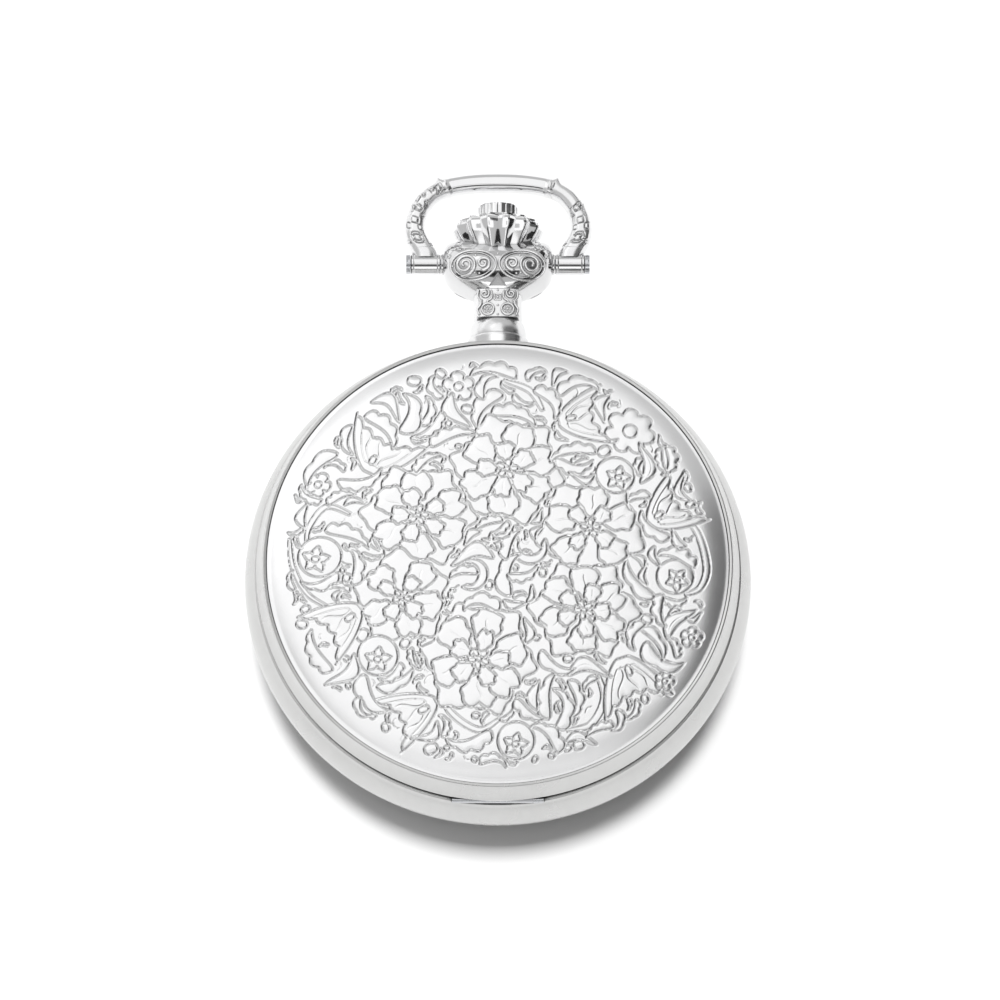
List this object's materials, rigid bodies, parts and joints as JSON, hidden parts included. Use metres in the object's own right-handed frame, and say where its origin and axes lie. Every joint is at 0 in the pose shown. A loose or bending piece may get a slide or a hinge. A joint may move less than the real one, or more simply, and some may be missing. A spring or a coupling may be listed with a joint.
{
  "type": "hunter pocket watch",
  "caption": "Hunter pocket watch: sprung hinged front cover with embossed flowers, fluted winding crown with release button, swinging bow and a hand-wound movement.",
  "frame": {"origin": "centre of the flat rest face on the back of the case", "axes": "+Z out of the back, through the dial to the front cover; +Y to twelve o'clock and the crown; +X to three o'clock"},
  "size_m": [0.047, 0.0637, 0.014],
  "materials": {
    "silver_case": "polished silver plate",
    "case_inner": "satin silver plate",
    "steel": "fine ground",
    "blued_steel": "heat blued",
    "nickel_plate": "nickel plated, striped",
    "gilt_brass": "gilt",
    "ruby": "polished ruby",
    "enamel": "white enamel",
    "mineral_glass": "clear domed crystal"
  },
  "bodies": {
    "case": {"case_middle": "silver_case", "hinge_pin": "steel", "back_cover": "silver_case", "dust_cover": "case_inner", "bezel": "silver_case", "crystal": "mineral_glass", "lift_spring": "steel", "spring_screws": "steel", "movement_holder": "case_inner", "case_screws": "steel", "pendant_neck": "silver_case", "pendant_head": "silver_case", "bow_screws": "steel", "main_plate": "nickel_plate", "barrel_bridge": "nickel_plate", "train_bridge": "nickel_plate", "balance_cock": "nickel_plate", "pallet_cock": "nickel_plate", "bridge_screws": "steel", "jewels": "ruby", "setting_lever": "steel", "yoke": "steel", "crown_wheel_screw": "steel", "click_spring": "steel", "hairspring": "blued_steel", "minute_post": "steel", "dial": "enamel"},
    "lid": {"lid_rim": "silver_case", "lid_dome": "silver_case"},
    "bow": {"bow": "silver_case"},
    "winding": {"winding_pinion": "steel", "clutch": "steel"},
    "crown": {"crown": "silver_case", "winding_stem": "steel", "button_spring": "steel"},
    "button": {"push_button": "silver_case", "push_collar": "case_inner"},
    "latch": {"lock_spring": "steel"},
    "crown_wheel": {"crown_wheel": "steel"},
    "ratchet": {"ratchet_wheel": "steel", "ratchet_screw": "steel", "barrel_arbor": "steel"},
    "click": {"click": "steel"},
    "barrel": {"barrel_drum": "gilt_brass", "mainspring": "blued_steel"},
    "centre": {"centre_wheel": "gilt_brass", "cannon_pinion": "steel", "minute_hand": "blued_steel"},
    "minute_work": {"minute_wheel": "gilt_brass"},
    "hour": {"hour_wheel": "gilt_brass", "hour_hand": "blued_steel"},
    "third": {"third_wheel": "gilt_brass"},
    "fourth": {"fourth_wheel": "gilt_brass", "seconds_hand": "blued_steel"},
    "escape": {"escape_wheel": "steel"},
    "pallets": {"pallet_fork": "steel", "pallet_stones": "ruby"},
    "balance": {"balance_wheel": "gilt_brass", "balance_staff": "steel"}
  },
  "joints": [
    {"name": "lid_hinge", "type": "hinge", "parent": "case", "child": "lid", "pos_m": [0, -0.02215, 0.01], "axis": [1, 0, 0], "range_deg": [0, 95]},
    {"name": "bow_swing", "type": "hinge", "parent": "case", "child": "bow", "pos_m": [0, 0.03127, 0.007], "axis": [1, 0, 0], "range_deg": [-110, 110]},
    {"name": "crown_turn", "type": "hinge", "parent": "case", "child": "winding", "pos_m": [0, 0.0127, 0.007], "axis": [0, 1, 0], "continuous": true},
    {"name": "crown_pull", "type": "slide", "parent": "winding", "child": "crown", "axis": [0, 1, 0], "range_m": [0, 0.0006]},
    {"name": "button_press", "type": "slide", "parent": "crown", "child": "button", "axis": [0, -1, 0], "range_m": [0, 0.0006], "stiffness_N_per_m": 600, "deforming": ["button_spring"]},
    {"name": "latch_pivot", "type": "hinge", "parent": "case", "child": "latch", "pos_m": [-0.0179, 0.0089, 0.0087], "axis": [0, 0, 1], "range_deg": [-2.1, 0]},
    {"name": "crown_wheel_turn", "type": "hinge", "parent": "case", "child": "crown_wheel", "pos_m": [0, 0.00975, 0.005], "axis": [0, 0, 1], "continuous": true},
    {"name": "ratchet_turn", "type": "hinge", "parent": "case", "child": "ratchet", "pos_m": [-0.00611, 0.00513, 0.005], "axis": [0, 0, 1], "continuous": true},
    {"name": "click_lift", "type": "hinge", "parent": "case", "child": "click", "pos_m": [-0.0124, 0.0073, 0.005], "axis": [0, 0, 1], "range_deg": [-12, 0], "stiffness_Nm_per_rad": 0.0004},
    {"name": "centre_turn", "type": "hinge", "parent": "case", "child": "centre", "pos_m": [0, 0, 0.0062], "axis": [0, 0, 1], "continuous": true},
    {"name": "barrel_turn", "type": "hinge", "parent": "case", "child": "barrel", "pos_m": [-0.00611, 0.00513, 0.0072], "axis": [0, 0, 1], "continuous": true},
    {"name": "minute_wheel_turn", "type": "hinge", "parent": "case", "child": "minute_work", "pos_m": [0.00212, 0.00212, 0.0084], "axis": [0, 0, 1], "continuous": true},
    {"name": "hour_turn", "type": "hinge", "parent": "case", "child": "hour", "pos_m": [0, 0, 0.0086], "axis": [0, 0, 1], "continuous": true},
    {"name": "third_turn", "type": "hinge", "parent": "case", "child": "third", "pos_m": [0.0035, -0.00469, 0.0067], "axis": [0, 0, 1], "continuous": true},
    {"name": "fourth_turn", "type": "hinge", "parent": "case", "child": "fourth", "pos_m": [0, -0.0084, 0.007], "axis": [0, 0, 1], "continuous": true},
    {"name": "escape_turn", "type": "hinge", "parent": "case", "child": "escape", "pos_m": [-0.0046, -0.0099, 0.0064], "axis": [0, 0, 1], "continuous": true},
    {"name": "pallet_swing", "type": "hinge", "parent": "case", "child": "pallets", "pos_m": [-0.0072, -0.0079, 0.0064], "axis": [0, 0, 1], "range_deg": [-6, 6]},
    {"name": "balance_swing", "type": "hinge", "parent": "case", "child": "balance", "pos_m": [-0.0102, -0.0063, 0.00535], "axis": [0, 0, 1], "range_deg": [-270, 270], "stiffness_Nm_per_rad": 0.0000006}
  ],
  "couplings": [
    {"joint": "latch_pivot", "follows": "button_press", "rad_per_m": -55.87},
    {"joint": "crown_wheel_turn", "follows": "crown_turn", "ratio": 0.5},
    {"joint": "ratchet_turn", "follows": "crown_turn", "ratio": -0.33333},
    {"joint": "barrel_turn", "follows": "fourth_turn", "ratio": -0.0027778},
    {"joint": "minute_wheel_turn", "follows": "fourth_turn", "ratio": -0.0055556},
    {"joint": "hour_turn", "follows": "fourth_turn", "ratio": 0.0013889},
    {"joint": "third_turn", "follows": "fourth_turn", "ratio": -0.13333},
    {"joint": "centre_turn", "follows": "fourth_turn", "ratio": 0.016667},
    {"joint": "escape_turn", "follows": "fourth_turn", "ratio": -10}
  ]
}
